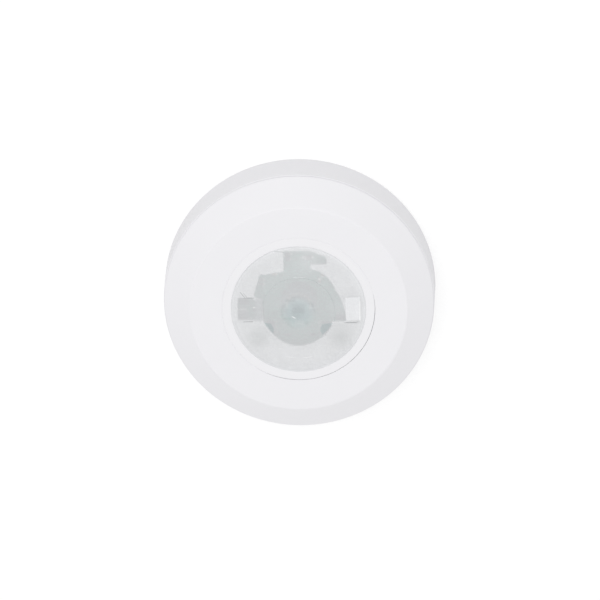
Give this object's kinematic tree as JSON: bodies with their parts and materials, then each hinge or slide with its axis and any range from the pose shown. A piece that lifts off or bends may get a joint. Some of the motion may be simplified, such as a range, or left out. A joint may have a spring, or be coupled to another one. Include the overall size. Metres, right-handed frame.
{
  "type": "pir motion sensor",
  "caption": "Round ceiling motion sensor: bevelled housing in two shells that twist together, with a shallow milky lens over an infrared sensor.",
  "frame": {"origin": "centre of the mounting face on the back", "axes": "+Z out through the lens, away from the ceiling; the two screw slots lie along Y; the battery lies on the +X side"},
  "size_m": [0.1, 0.1, 0.0279],
  "materials": {
    "housing_white": "fine moulded texture",
    "cover_white": "fine moulded texture",
    "ring_white": "smooth satin",
    "lens_milky": "translucent milky lens sheet",
    "guard_white": "smooth satin",
    "board_green": "solder mask",
    "screw_steel": "zinc plated",
    "spacer_dark": "moulded",
    "header_metal": "plated steel",
    "can_metal": "drawn metal",
    "filter_dark": "dark infrared filter",
    "light_clear": "clear resin",
    "switch_black": "moulded",
    "plunger_white": "smooth",
    "button_black": "smooth",
    "mode_blue": "moulded",
    "slider_white": "smooth",
    "battery_sleeve": "shrunk sleeve, plain",
    "holder_black": "moulded",
    "contact_nickel": "nickel plated",
    "shield_tin": "tin plated",
    "ceramic_cream": "ceramic",
    "chip_black": "moulded",
    "crystal_can": "drawn can",
    "capacitor_can": "drawn can"
  },
  "bodies": {
    "base": {"base_housing": "housing_white", "circuit_board": "board_green", "board_screws": "screw_steel", "sensor_spacer": "spacer_dark", "sensor_header": "header_metal", "sensor_can": "can_metal", "sensor_window": "filter_dark", "status_light": "light_clear", "tamper_switch": "switch_black", "pairing_switch": "switch_black", "mode_switch": "mode_blue", "battery_cell": "battery_sleeve", "battery_holder": "holder_black", "battery_spring_contact": "contact_nickel", "battery_plate_contact": "contact_nickel", "radio_shield": "shield_tin", "chip_antenna": "ceramic_cream", "controller_chip": "chip_black", "amplifier_chip": "chip_black", "clock_crystal": "crystal_can", "capacitors": "capacitor_can"},
    "cover": {"front_cover": "cover_white", "lens_ring": "ring_white", "fresnel_lens": "lens_milky", "light_guard": "guard_white"},
    "tamper_plunger": {"tamper_plunger": "plunger_white"},
    "pairing_button": {"pairing_button": "button_black"},
    "mode_slider_1": {"mode_slider_1": "slider_white"},
    "mode_slider_2": {"mode_slider_2": "slider_white"}
  },
  "joints": [
    {"name": "cover_twist", "type": "hinge", "parent": "base", "child": "cover", "pos_m": [0, 0, 0], "axis": [0, 0, 1], "range_deg": [0, 20]},
    {"name": "tamper_travel", "type": "slide", "parent": "base", "child": "tamper_plunger", "axis": [0, 0, 1], "range_m": [0, 0.001]},
    {"name": "pairing_press", "type": "slide", "parent": "base", "child": "pairing_button", "axis": [0, 0, -1], "range_m": [0, 0.00025], "stiffness_N_per_m": 400, "springref_m": -0.0005},
    {"name": "mode_slide_1", "type": "slide", "parent": "base", "child": "mode_slider_1", "axis": [0, 1, 0], "range_m": [0, 0.0009]},
    {"name": "mode_slide_2", "type": "slide", "parent": "base", "child": "mode_slider_2", "axis": [0, 1, 0], "range_m": [0, 0.0009]}
  ],
  "couplings": [
    {"joint": "tamper_travel", "follows": "cover_twist", "m_per_rad": 0.00286}
  ]
}
